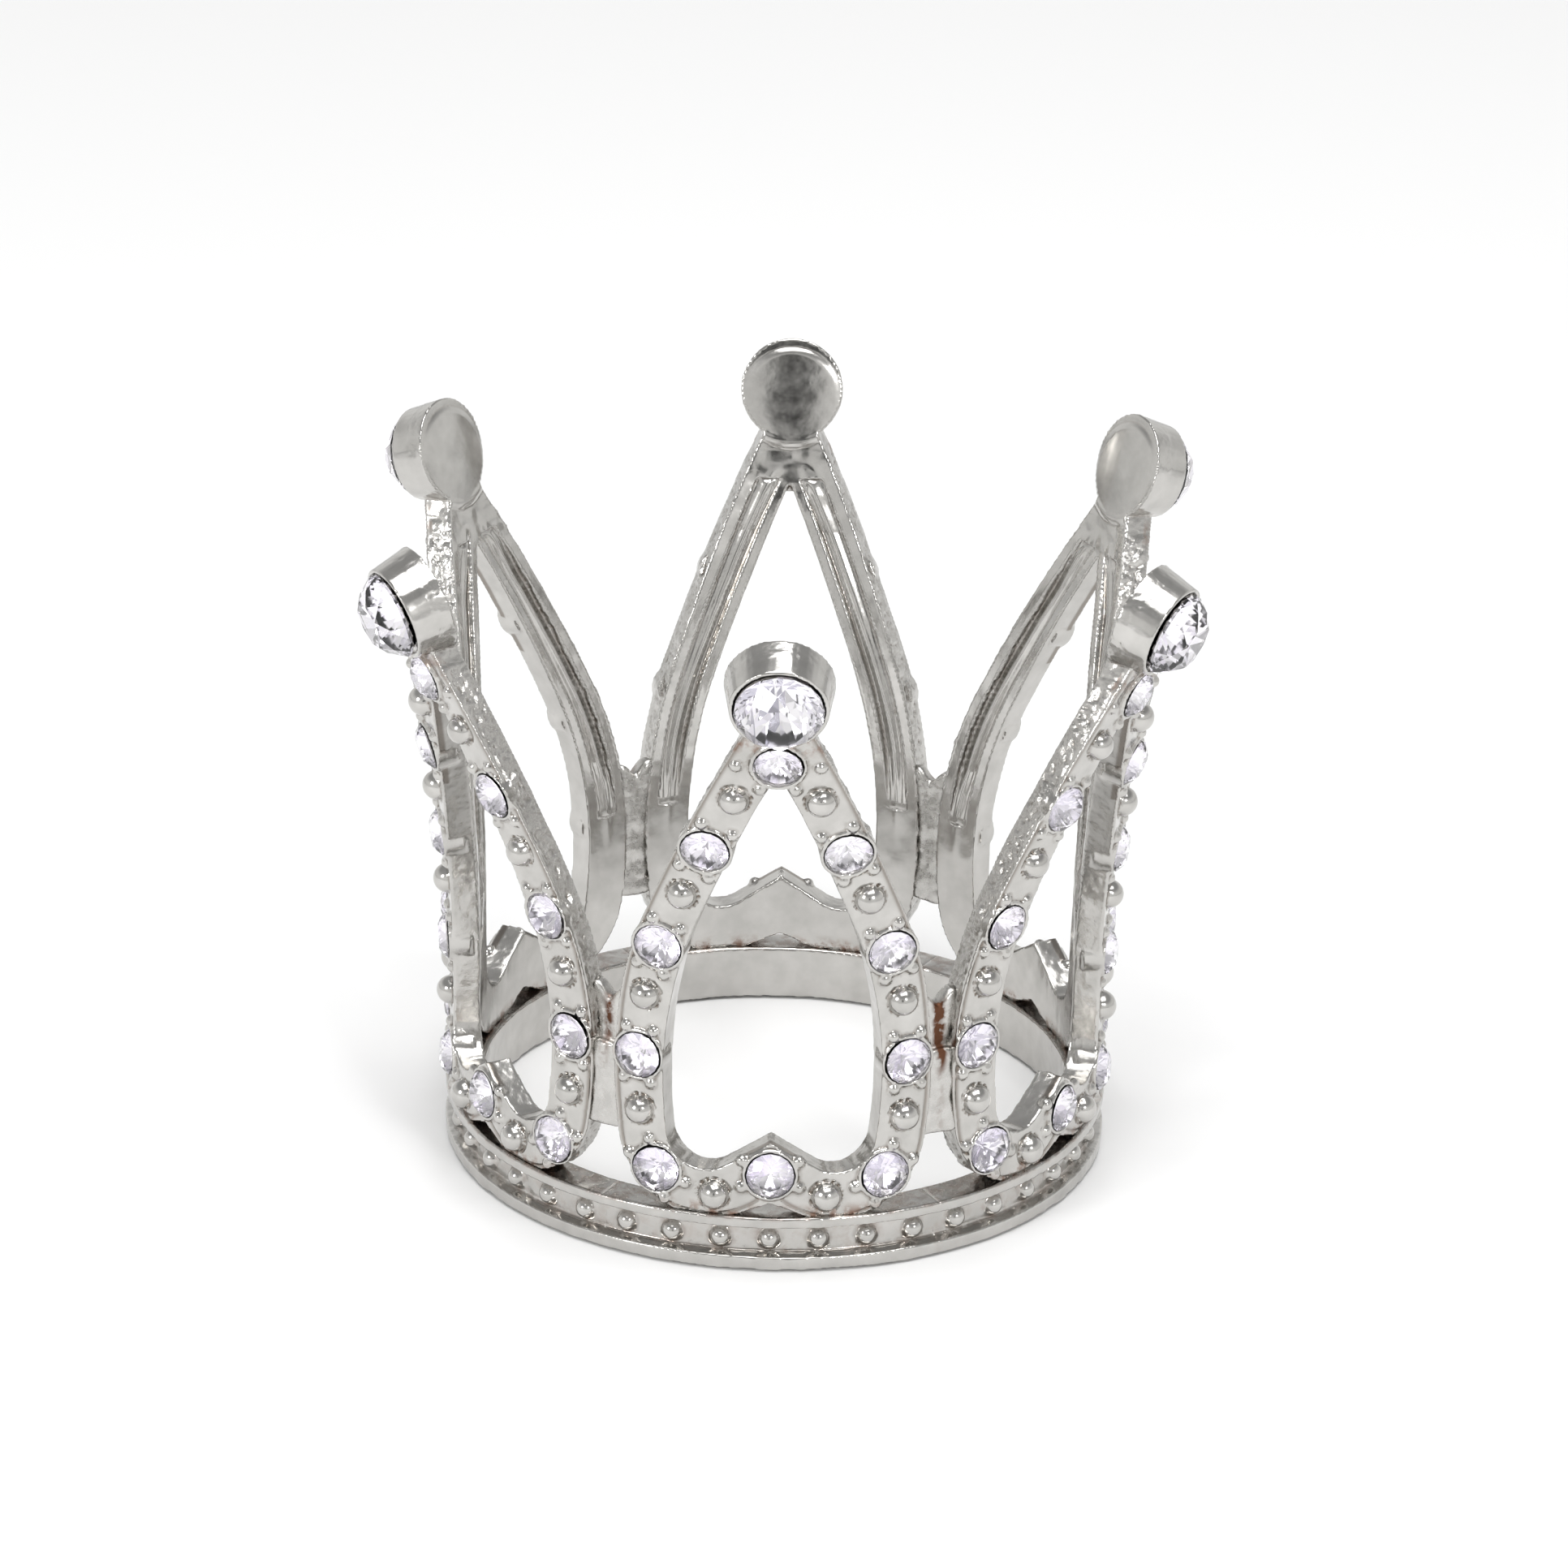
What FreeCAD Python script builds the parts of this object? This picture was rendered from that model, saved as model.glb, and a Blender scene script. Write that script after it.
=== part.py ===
"""A small cast-metal crown of six heart-shaped petals set with round crystals, standing on a beaded ring.

Millimetres, +Z up, origin at the centre of the ring's underside. Petal 1 faces -Y and the others follow
every 60 degrees, anticlockwise seen from above. Every sub-part is drawn once, facing -Y, and then placed.
"""

import FreeCAD
import Part
import Sketcher
import math
import os

from FreeCAD import Placement, Rotation, Vector

Z_AXIS = Vector(0, 0, 1)

# Alias, value in millimetres (or degrees, or a count), meaning.
DIMENSIONS = [
    ("petals", 6, "petals round the crown"),
    ("bore_radius", 19.6, "inside of the ring"),
    ("rim_radius", 22.1, "outside of the ring's two rims"),
    ("web_radius", 21.3, "floor of the ring's beaded channel"),
    ("ring_height", 3.7, "underside to the faces that the petals stand on"),
    ("lower_rim", 0.85, "height of the ring's lower rim"),
    ("upper_rim", 0.7, "height of the ring's upper rim"),
    ("rim_slope", 0.15, "draft of the channel's two sides"),
    ("ring_beads", 7, "beads on each ring segment"),
    ("ring_bead_radius", 0.68, "ball of a ring bead"),
    ("petal_outer_radius", 21.85, "outer face of a petal below the flare"),
    ("petal_inner_radius", 20.0, "inner face of a petal below the flare"),
    ("flare_start", 12.5, "height at which a petal starts to lean out"),
    ("flare_radius", 73.0, "radius of the lean, in the vertical plane"),
    ("flare_angle", 18.0, "greatest lean, from the vertical"),
    ("band_top", 41.6, "end of the straight bands, inside the cup"),
    ("band_halfwidth", 1.72, "half width of a band at the belly"),
    ("inner_taper", 1.3, "degrees by which the window's edge of a straight band closes in"),
    ("outer_taper", 0.2, "the same at the outer edge"),
    ("tip_angle", 23.2, "lean of a straight band from the vertical"),
    ("belly_halfwidth", 8.9, "widest half width of the band's centreline"),
    ("belly_height", 13.0, "height of that widest place"),
    ("belly_radius", 30.0, "radius of the centreline at the belly"),
    ("lobe_across", 4.4, "centre of a lower lobe, from the petal's middle"),
    ("lobe_height", 9.3, "height of a lobe's centre"),
    ("notch_angle", 22.0, "rise of the band's centreline and lower edge to the middle"),
    ("cusp_angle", 31.0, "rise of the band's upper edge to the cusp"),
    ("pitch_below_bead", 4.45, "from a large bead to the stone below it"),
    ("pitch_below_stone", 3.95, "from a small stone to the bead below it"),
    ("lobe_pitch", 4.25, "the same round the lobe"),
    ("first_station", 34.4, "height of the uppermost bead"),
    ("apex_stone_height", 37.25, "height of the stone in the fork of the bands"),
    ("cusp_stone_height", 6.75, "height of the stone under the cusp"),
    ("bead_radius", 1.0, "ball of a large bead"),
    ("bead_sink", 0.06, "depth of a large bead's centre below the face"),
    ("bead_moat_radius", 1.19, "sunken ring round a large bead"),
    ("bead_moat_depth", 0.18, "depth of that ring"),
    ("grain_radius", 0.42, "ball of a small bead"),
    ("grain_sink", 0.06, "depth of a small bead's centre below the face"),
    ("grain_across", 0.95, "small beads, either side of the band's centreline"),
    ("grain_along", 1.86, "small beads, up and down the band from a stone's centre"),
    ("collar_radius", 1.8, "collar round a small stone's seat"),
    ("collar_rise", 0.2, "collar above the band's face"),
    ("collar_depth", 1.3, "collar below the band's face, where it stands past the edge"),
    ("seat_radius", 1.58, "recess round a small stone's girdle"),
    ("seat_depth", 0.05, "depth of that recess below the face"),
    ("well_radius", 1.22, "hole under a small stone"),
    ("well_depth", 0.95, "depth of that hole below the face"),
    ("stone_radius", 1.5, "girdle of a small stone"),
    ("stone_crown", 0.52, "crown height of a small stone"),
    ("stone_girdle", 0.1, "girdle thickness of a small stone"),
    ("stone_pavilion", 1.1, "depth of a small stone below its girdle"),
    ("stone_lift", 0.16, "girdle of a small stone above the band's face"),
    ("groove_halfwidth", 0.8, "half width of the channel along the back of a band"),
    ("groove_depth", 0.4, "depth of that channel"),
    ("groove_bottom", 15.0, "height at which that channel runs out"),
    ("groove_top", 37.0, "height at which it ends below the cup"),
    ("cup_height", 42.25, "height of a cup's centre"),
    ("cup_back_radius", 3.5, "cup at its closed back"),
    ("cup_rim_radius", 3.12, "cup at its open rim"),
    ("cup_length", 2.7, "cup from back to rim"),
    ("cup_relief", 0.4, "petal cut away behind the cup's back"),
    ("cup_seat_radius", 2.84, "recess round a large stone's girdle"),
    ("cup_seat_depth", 0.24, "depth of that recess below the rim"),
    ("cup_well_radius", 2.3, "hole under a large stone"),
    ("cup_well_depth", 2.2, "depth of that hole below the rim"),
    ("gem_radius", 2.74, "girdle of a large stone"),
    ("gem_crown", 1.45, "crown height of a large stone"),
    ("gem_girdle", 0.18, "girdle thickness of a large stone"),
    ("gem_pavilion", 2.0, "depth of a large stone below its girdle"),
    ("gem_lift", 0.1, "girdle of a large stone above the cup's rim"),
    ("solder_bottom", 8.6, "lower end of the solder between two petals"),
    ("solder_top", 18.3, "upper end of the solder between two petals"),
    ("solder_step", 14.4, "height to which the gap is filled almost flush with the petals"),
    ("solder_fill", 0.2, "depth of that lower part below the petals' outer face"),
    ("solder_recess", 0.75, "depth of the upper part below the petals' outer face"),
    ("solder_inset", 0.35, "depth of the solder below the petals' inner face"),
    ("solder_spread", 3.4, "half width of the solder, in degrees"),
]


def make_sheet(doc):
    """The spreadsheet of driving dimensions."""
    sheet = doc.addObject("Spreadsheet::Sheet", "Dimensions")
    for row, (alias, value, meaning) in enumerate(DIMENSIONS, start=1):
        sheet.set(f"A{row}", meaning)
        sheet.set(f"B{row}", str(value))
        sheet.setAlias(f"B{row}", alias)
    doc.recompute()
    return sheet


def bind(obj, **expressions):
    """Binds properties of obj to expressions over the sheet; D. stands for the sheet."""
    for prop, text in expressions.items():
        obj.setExpression(prop.replace("__", "."), text.replace("D.", "Dimensions."))


def origin_plane(body, role):
    """One of a body's own origin planes or axes."""
    return next(o for o in body.Origin.OriginFeatures if o.Role == role)


def turned(index, count):
    """The placement that turns a piece facing -Y to its own petal."""
    return Placement(Vector(), Rotation(Z_AXIS, index * 360.0 / count))


# ---- the petal's surface and outline --------------------------------------------------------------


def lean(sheet, height):
    """Angle of the petal's surface from the vertical at a height, in radians."""
    bent = math.asin(min(1.0, max(0.0, height - sheet.flare_start) / sheet.flare_radius))
    return min(bent, math.radians(sheet.flare_angle))


def outer_radius(sheet, height):
    """Radius of the petal's outer face at a height: upright, then bent outward, then straight again."""
    turn = lean(sheet, height)
    straight = max(0.0, height - sheet.flare_start - sheet.flare_radius * math.sin(turn))
    return sheet.petal_outer_radius + sheet.flare_radius * (1 - math.cos(turn)) + straight * math.tan(turn)


def on_face(sheet, along, height, lift=0.0):
    """Placement on the outer face, local Z outward; along is the arc at petal_outer_radius from the middle."""
    turn = math.degrees(along / sheet.petal_outer_radius)
    tilt = 90.0 + math.degrees(lean(sheet, height))
    facing = Rotation(Z_AXIS, turn) * Rotation(Vector(1, 0, 0), tilt)
    base = Rotation(Z_AXIS, turn).multVec(Vector(0, -outer_radius(sheet, height), height))
    return Placement(base + facing.multVec(Vector(0, 0, lift)), facing)


class HeartCurve:
    """Right half of a heart drawn on the unrolled petal, as (along, height): a line, two arcs and a line.

    The curve runs down a straight band, round the belly, round the lobe and up to the middle. shift moves
    it outward from the band's centreline, and the straight part leans closer to the centreline at the top.
    """

    def __init__(self, sheet, shift, end_angle):
        self.sheet = sheet
        taper = sheet.outer_taper if shift > 0 else sheet.inner_taper
        self.tip = math.radians(sheet.tip_angle + taper * shift / sheet.band_halfwidth)
        self.end = math.radians(end_angle)
        self.belly = (sheet.belly_halfwidth + shift - sheet.belly_radius, sheet.belly_height)
        self.lobe = (sheet.lobe_across, sheet.lobe_height)
        reach = math.dist(self.belly, self.lobe)
        self.join = math.asin((sheet.belly_height - sheet.lobe_height) / reach)
        self.lobe_radius = sheet.belly_radius - reach

    def on_belly(self, angle):
        """Point of the belly arc."""
        radius = self.sheet.belly_radius
        return (self.belly[0] + radius * math.cos(angle), self.belly[1] + radius * math.sin(angle))

    def on_lobe(self, angle):
        """Point of the lobe arc."""
        return (self.lobe[0] + self.lobe_radius * math.cos(angle), self.lobe[1] + self.lobe_radius * math.sin(angle))

    def peak(self):
        """Where the straight part would meet its mirror image."""
        along, height = self.on_belly(self.tip)
        return (0.0, height + along / math.tan(self.tip))

    def at(self, length):
        """Point and downhill direction at a length down from the belly arc's upper end."""
        if length < 0:
            along, height = self.on_belly(self.tip)
            step = (math.sin(self.tip), -math.cos(self.tip))
            return (along + length * step[0], height + length * step[1]), step
        belly_length = self.sheet.belly_radius * (self.tip + self.join)
        if length < belly_length:
            angle = self.tip - length / self.sheet.belly_radius
            return self.on_belly(angle), (math.sin(angle), -math.cos(angle))
        angle = -self.join - (length - belly_length) / self.lobe_radius
        return self.on_lobe(angle), (math.sin(angle), -math.cos(angle))

    def station(self, number):
        """Point and direction of a numbered place down the band: 0 is the uppermost bead, 1 the next stone."""
        sheet = self.sheet
        length = (self.on_belly(self.tip)[1] - sheet.first_station) / math.cos(self.tip)
        steps = [sheet.pitch_below_bead, sheet.pitch_below_stone] * 3 + [sheet.lobe_pitch] * 2
        whole = int(number)
        length += sum(steps[:whole]) + (number - whole) * steps[min(whole, len(steps) - 1)]
        return self.at(length)

    def edges(self, top=None):
        """Edges of both halves, closed flat at the height top or run up to the peak."""
        corner = self.on_belly(self.tip)
        summit = self.peak()
        if top is not None:
            summit = (corner[0] - (top - corner[1]) * math.tan(self.tip), top)
        last = -math.pi / 2 - self.end
        foot = self.on_lobe(last)
        middle = (0.0, foot[1] + foot[0] * math.tan(self.end))
        found = []
        for side in (1, -1):
            ends = [Vector(side * p[0], 0, p[1]) for p in (summit, corner, self.on_belly(-self.join), foot, middle)]
            round_belly = self.on_belly((self.tip - self.join) / 2)
            round_lobe = self.on_lobe((last - self.join) / 2)
            found += [
                Part.LineSegment(ends[0], ends[1]),
                Part.Arc(ends[1], Vector(side * round_belly[0], 0, round_belly[1]), ends[2]),
                Part.Arc(ends[2], Vector(side * round_lobe[0], 0, round_lobe[1]), ends[3]),
                Part.LineSegment(ends[3], ends[4]),
            ]
        if top is not None:
            found.append(Part.LineSegment(Vector(summit[0], 0, top), Vector(-summit[0], 0, top)))
        return [curve.toShape() for curve in found]


def rolled(sheet, edges, reach):
    """The unrolled edges as a closed wire in the plane y = -reach, seen from the crown's axis."""
    wires = []
    for edge in edges:
        points = [
            Vector(reach * math.tan(p.x / sheet.petal_outer_radius), -reach, p.z) for p in edge.discretize(Number=9)
        ]
        curve = Part.BSplineCurve()
        curve.interpolate(points)
        wires.append(curve.toShape())
    return Part.Wire(Part.__sortEdges__(wires))


# ---- sub-parts ------------------------------------------------------------------------------------


def amount(sheet, text):
    """Value of a sum or difference of aliases, such as one - other."""
    total, sign = 0.0, 1.0
    for word in text.split():
        if word in ("+", "-"):
            sign = 1.0 if word == "+" else -1.0
        else:
            total += sign * getattr(sheet, word)
    return total


def draw_section(body, sheet, name, corners):
    """A closed sketch in a body's XZ plane whose corners are (radius, height), each an expression or 0."""
    sketch = body.newObject("Sketcher::SketchObject", name)
    sketch.AttachmentSupport = (origin_plane(body, "XZ_Plane"), "")
    sketch.MapMode = "FlatFace"
    points = [Vector(*(amount(sheet, text) if text else 0.0 for text in corner), 0) for corner in corners]
    count = len(corners)
    for i in range(count):
        sketch.addGeometry(Part.LineSegment(points[i], points[(i + 1) % count]), False)
    for i, corner in enumerate(corners):
        sketch.addConstraint(Sketcher.Constraint("Coincident", i, 2, (i + 1) % count, 1))
        for kind, text, value, on_axis in zip(("DistanceX", "DistanceY"), corner, points[i], (-2, -1)):
            if not text:
                sketch.addConstraint(Sketcher.Constraint("PointOnObject", i, 1, on_axis))
                continue
            number = sketch.addConstraint(Sketcher.Constraint(kind, -1, 1, i, 1, value))
            terms = ["Dimensions." + word if word[0].isalpha() else word for word in text.split()]
            sketch.setExpression(f"Constraints[{number}]", " ".join(terms))
    sketch.Document.recompute()
    return sketch


def make_ring_segment(doc, sheet):
    """One sixth of the channelled base ring with its row of beads, as a body facing +X."""
    body = doc.addObject("PartDesign::Body", "RingSegment")
    corners = [
        ("bore_radius", ""),
        ("rim_radius", ""),
        ("rim_radius", "lower_rim"),
        ("web_radius", "lower_rim + rim_slope"),
        ("web_radius", "ring_height - upper_rim - rim_slope"),
        ("rim_radius", "ring_height - upper_rim"),
        ("rim_radius", "ring_height"),
        ("bore_radius", "ring_height"),
    ]
    channel = body.newObject("PartDesign::Revolution", "Channel")
    channel.Profile = draw_section(body, sheet, "ChannelSection", corners)
    channel.ReferenceAxis = (origin_plane(body, "Z_Axis"), [""])
    channel.Midplane = True
    bind(channel, Angle="360 / D.petals")
    doc.recompute()
    pitch = 360.0 / sheet.petals / sheet.ring_beads
    channel_middle = (sheet.lower_rim + sheet.ring_height - sheet.upper_rim) / 2
    for i in range(int(sheet.ring_beads)):
        ball = body.newObject("PartDesign::AdditiveSphere", f"Bead{i}")
        bind(ball, Radius="D.ring_bead_radius")
        turn = Rotation(Z_AXIS, (i - (sheet.ring_beads - 1) / 2) * pitch)
        ball.AttachmentOffset = Placement(turn.multVec(Vector(sheet.web_radius, 0, channel_middle)), turn)
        ball.AttachmentSupport = (origin_plane(body, "XY_Plane"), "")
        ball.MapMode = "FlatFace"
    doc.recompute()
    return body


def make_cup(doc, sheet):
    """The round cup of a large stone, as a body: back at the origin, rim along +Z."""
    body = doc.addObject("PartDesign::Body", "StoneCup")
    corners = [
        ("", ""),
        ("cup_back_radius", ""),
        ("cup_rim_radius", "cup_length"),
        ("cup_seat_radius", "cup_length"),
        ("cup_seat_radius", "cup_length - cup_seat_depth"),
        ("cup_well_radius", "cup_length - cup_seat_depth"),
        ("cup_well_radius", "cup_length - cup_well_depth"),
        ("", "cup_length - cup_well_depth"),
    ]
    wall = body.newObject("PartDesign::Revolution", "CupWall")
    wall.Profile = draw_section(body, sheet, "CupSection", corners)
    wall.ReferenceAxis = (origin_plane(body, "Z_Axis"), [""])
    wall.Angle = 360
    doc.recompute()
    return body


def make_shell(doc, sheet, name, inner, outer, bottom, top):
    """A sixth of the flared shell between two offsets from the petal's outer face, as a revolved solid."""
    centre = Vector(sheet.petal_outer_radius + sheet.flare_radius, 0, sheet.flare_start)
    last = math.radians(sheet.flare_angle)

    def side(offset):
        """Points up the section: bottom, start, middle and end of the arc, top."""
        radius = sheet.flare_radius - offset
        first = math.asin(max(0.0, bottom - sheet.flare_start) / radius)
        points = [Vector(centre.x - radius, 0, bottom)]
        for turn in (first, (first + last) / 2, last):
            points.append(centre + Vector(-radius * math.cos(turn), 0, radius * math.sin(turn)))
        rise = top - points[-1].z
        points.append(points[-1] + Vector(rise * math.tan(last), 0, rise))
        return points

    inner_side, outer_side = side(inner), side(outer)
    start = 0 if bottom < sheet.flare_start else 1
    curves = []
    for points in (inner_side, outer_side):
        curves += [Part.Arc(points[1], points[2], points[3]), Part.LineSegment(points[3], points[4])]
        if start == 0:
            curves.append(Part.LineSegment(points[0], points[1]))
    curves.append(Part.LineSegment(inner_side[4], outer_side[4]))
    curves.append(Part.LineSegment(inner_side[start], outer_side[start]))
    section = doc.addObject("Part::Feature", name + "Section")
    section.Shape = Part.Face(Part.Wire(Part.__sortEdges__([curve.toShape() for curve in curves])))
    shell = doc.addObject("Part::Revolution", name)
    shell.Source = section
    shell.Axis = Z_AXIS
    bind(shell, Angle="360 / D.petals")
    shell.Solid = True
    shell.Placement = Placement(Vector(), Rotation(Z_AXIS, -90.0 - 180.0 / sheet.petals))
    return shell


def make_prism(doc, sheet, name, edges):
    """A heart whose walls all point at the crown's axis, from inside the petal's back to past its face."""
    near = sheet.petal_inner_radius * math.cos(math.pi / sheet.petals) - 1
    far = outer_radius(sheet, sheet.band_top) + sheet.cup_length
    sections = []
    for end, reach in (("Near", near), ("Far", far)):
        drawn = doc.addObject("Part::Feature", name + end)
        drawn.Shape = rolled(sheet, edges, reach)
        sections.append(drawn)
    prism = doc.addObject("Part::Loft", name)
    prism.Sections = sections
    prism.Solid = True
    prism.Ruled = True
    return prism


def scatter(doc, name, kind, places, **expressions):
    """One primitive at each place, together as one document object."""
    pieces = []
    for i, place in enumerate(places):
        piece = doc.addObject(kind, f"{name}{i}")
        bind(piece, **expressions)
        piece.Placement = place
        pieces.append(piece)
    return gather(doc, name, pieces)


def gather(doc, name, pieces, place=None):
    """Existing objects as one compound object, with its own placement."""
    group = doc.addObject("Part::Compound", name)
    group.Label = name
    group.Links = pieces
    if place:
        group.Placement = place
    return group


def combine(doc, kind, name, base, *tools):
    """A boolean of base with tools, as a document object."""
    made = doc.addObject(kind, name)
    if kind in ("Part::MultiFuse", "Part::MultiCommon"):
        made.Shapes = [base, *tools]
    else:
        made.Base, made.Tool = base, tools[0]
    made.Refine = False
    return made


def petal_layout(sheet):
    """Where the small stones, the large beads and the small beads of one petal sit, as (along, height)."""
    line = HeartCurve(sheet, 0.0, sheet.notch_angle)
    apex, cusp = sheet.apex_stone_height, sheet.cusp_stone_height
    across, far = sheet.grain_across, sheet.grain_along
    stones, beads, grains = [(0.0, apex), (0.0, cusp)], [], []
    for side in (1, -1):
        beads += [(side * line.station(k)[0][0], line.station(k)[0][1]) for k in (0, 2, 4, 6, 8)]
        for point, step in (line.station(k) for k in (1, 3, 5, 7)):
            stones.append((side * point[0], point[1]))
            for down, out in ((far, across), (far, -across), (-far, across), (-far, -across)):
                along = point[0] + down * step[0] - out * step[1]
                grains.append((side * along, point[1] + down * step[1] + out * step[0]))
        grains += [(side * far, cusp + across), (side * far, cusp - across)]
        grains += [(side * 1.2 * far, apex - 0.1), (side * across, apex - far)]
    return stones, beads, grains


def make_petal(doc, sheet, cup_place, stones):
    """One cast petal, facing -Y: a curved heart-shaped band with collars, seats, beads and a grooved back."""
    stone_spots, bead_spots, grain_spots = petal_layout(sheet)
    half, channel = sheet.band_halfwidth, sheet.groove_halfwidth
    notch, cusp = sheet.notch_angle, sheet.cusp_angle
    thickness = sheet.petal_outer_radius - sheet.petal_inner_radius

    def seats_at(lift):
        return [on_face(sheet, *spot, lift=lift) for spot in stone_spots]

    shell = make_shell(doc, sheet, "BandShell", -thickness, 0.0, sheet.ring_height, sheet.band_top)
    heart = make_prism(doc, sheet, "Heart", HeartCurve(sheet, half, notch).edges(sheet.band_top + 0.5))
    window = make_prism(doc, sheet, "Window", HeartCurve(sheet, -half, cusp).edges())
    face = combine(doc, "Part::MultiCommon", "HeartOnShell", shell, heart)
    frame = combine(doc, "Part::Cut", "Frame", face, window)

    lining = make_shell(
        doc, sheet, "Lining", -thickness - 1, -thickness + sheet.groove_depth, sheet.groove_bottom, sheet.groove_top
    )
    channel_outer = make_prism(
        doc, sheet, "ChannelOuter", HeartCurve(sheet, channel, notch).edges(sheet.groove_top + 1)
    )
    channel_inner = make_prism(doc, sheet, "ChannelInner", HeartCurve(sheet, -channel, cusp).edges())
    channel_face = combine(doc, "Part::MultiCommon", "ChannelFace", lining, channel_outer)
    groove = combine(doc, "Part::Cut", "Groove", channel_face, channel_inner)
    grooved = combine(doc, "Part::Cut", "Grooved", frame, groove)

    envelope = doc.addObject("Part::Cone", "CupEnvelope")
    bind(
        envelope,
        Radius1="D.cup_back_radius + (D.cup_back_radius - D.cup_rim_radius) * D.cup_relief / D.cup_length",
        Radius2="D.cup_rim_radius",
        Height="D.cup_length + D.cup_relief",
    )
    envelope.Placement = cup_place * Placement(Vector(0, 0, -sheet.cup_relief), Rotation())
    necked = combine(doc, "Part::Cut", "Necked", grooved, envelope)

    collars = scatter(
        doc, "Collars", "Part::Cylinder", seats_at(-sheet.collar_depth),
        Radius="D.collar_radius", Height="D.collar_depth + D.collar_rise",
    )
    moats = scatter(
        doc, "Moats", "Part::Cylinder",
        [on_face(sheet, *spot, lift=-sheet.bead_moat_depth) for spot in bead_spots],
        Radius="D.bead_moat_radius", Height="D.bead_moat_depth + 1",
    )
    seats = scatter(
        doc, "Seats", "Part::Cylinder", seats_at(-sheet.seat_depth),
        Radius="D.seat_radius", Height="D.seat_depth + 2",
    )
    wells = scatter(
        doc, "Wells", "Part::Cylinder", seats_at(-sheet.well_depth),
        Radius="D.well_radius", Height="D.well_depth + 2",
    )
    beads = scatter(
        doc, "Beads", "Part::Sphere",
        [on_face(sheet, *spot, lift=-sheet.bead_sink) for spot in bead_spots],
        Radius="D.bead_radius",
    )
    grains = scatter(
        doc, "Grains", "Part::Sphere",
        [on_face(sheet, *spot, lift=-sheet.grain_sink) for spot in grain_spots],
        Radius="D.grain_radius",
    )
    moated = combine(doc, "Part::Cut", "Moated", necked, moats)
    raised = collars.Links + beads.Links + grains.Links
    beaded = combine(doc, "Part::MultiFuse", "Beaded", moated, *raised)
    drilled = combine(doc, "Part::Cut", "Drilled", beaded, wells)
    seated = combine(doc, "Part::Cut", "Seated", drilled, seats)
    petal = combine(doc, "Part::Cut", "Petal", seated, stones)
    doc.recompute()
    return petal


def chaton(radius, crown, girdle, pavilion):
    """A round faceted stone: girdle base at z = 0, table up. Eight mains, sixteen breaks, a pointed back."""
    table_radius, culet_radius, sides = 0.56 * radius, 0.16 * radius, 16

    def ring(size, height, count, start):
        return [
            Vector(size * math.cos(a), size * math.sin(a), height)
            for a in (math.radians(start + i * 360.0 / count) for i in range(count))
        ]

    low, high = ring(radius, 0, sides, 0), ring(radius, girdle, sides, 0)
    table = ring(table_radius, girdle + crown, 8, 22.5)
    culet = ring(culet_radius, -pavilion, sides, 0)
    faces = [table, culet]
    for i in range(sides):
        j = (i + 1) % sides
        faces += [[low[i], low[j], high[j], high[i]], [culet[i], culet[j], low[j], low[i]]]
    for i in range(8):
        near, far = table[i], table[(i + 1) % 8]
        left, vertex, right = (high[(2 * i + k) % sides] for k in (0, 1, 2))
        faces += [[left, vertex, near], [vertex, right, near], [near, right, far]]
    shell = Part.Shell([Part.Face(Part.makePolygon([*f, f[0]])) for f in faces])
    return Part.Solid(shell)


def make_chaton(doc, name, *sizes):
    """A faceted stone as a document object at the origin."""
    stone = doc.addObject("Part::Feature", name)
    stone.Shape = chaton(*sizes)
    return stone


def make_small_stones(doc, sheet):
    """The ten small stones of one petal, facing -Y, as separate solids in one compound."""
    stone = make_chaton(
        doc, "SmallStone", sheet.stone_radius, sheet.stone_crown, sheet.stone_girdle, sheet.stone_pavilion
    )
    spots = petal_layout(sheet)[0]
    copies = [
        gather(doc, f"SmallStone{i}", [stone], on_face(sheet, *spot, lift=sheet.stone_lift))
        for i, spot in enumerate(spots)
    ]
    return gather(doc, "SmallStones", copies)


def make_solder(doc, sheet, petal):
    """The solder in the gap between petal 1 and the petal on its left, trimmed to both."""
    pitch = 360.0 / sheet.petals
    turn = Rotation(Z_AXIS, -90 - pitch / 2 - sheet.solder_spread)
    layers = []
    for name, depth, top in (("SolderBar", "recess", "top"), ("SolderFill", "fill", "step")):
        layer = doc.addObject("Part::Cylinder", name)
        bind(
            layer,
            Radius=f"D.petal_outer_radius - D.solder_{depth}",
            Height=f"D.solder_{top} - D.solder_bottom",
            Angle="2 * D.solder_spread",
        )
        layer.Placement = Placement(Vector(0, 0, sheet.solder_bottom), turn)
        layers.append(layer)
    stepped = combine(doc, "Part::MultiFuse", "SteppedSolder", *layers)
    bore = doc.addObject("Part::Cylinder", "SolderBore")
    bind(bore, Radius="D.petal_inner_radius + D.solder_inset", Height="D.cup_height")
    bored = combine(doc, "Part::Cut", "BoredSolder", stepped, bore)
    neighbour = gather(doc, "NeighbourPetal", [petal], turned(-1, sheet.petals))
    fitted = combine(doc, "Part::Cut", "FittedSolder", bored, petal)
    solder = combine(doc, "Part::Cut", "Solder", fitted, neighbour)
    doc.recompute()
    return solder


def check(doc, parts):
    """Stops if any object failed or any sub-part's shape is unsound."""
    for obj in doc.Objects:
        bad = [state for state in obj.State if state in ("Invalid", "Error")]
        if bad:
            raise RuntimeError(f"{obj.Name} is {bad}")
    for part in parts:
        shape = part.Shape
        if shape.isNull() or not shape.isValid() or not shape.Solids:
            raise RuntimeError(f"{part.Label} has no sound shape")


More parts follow.
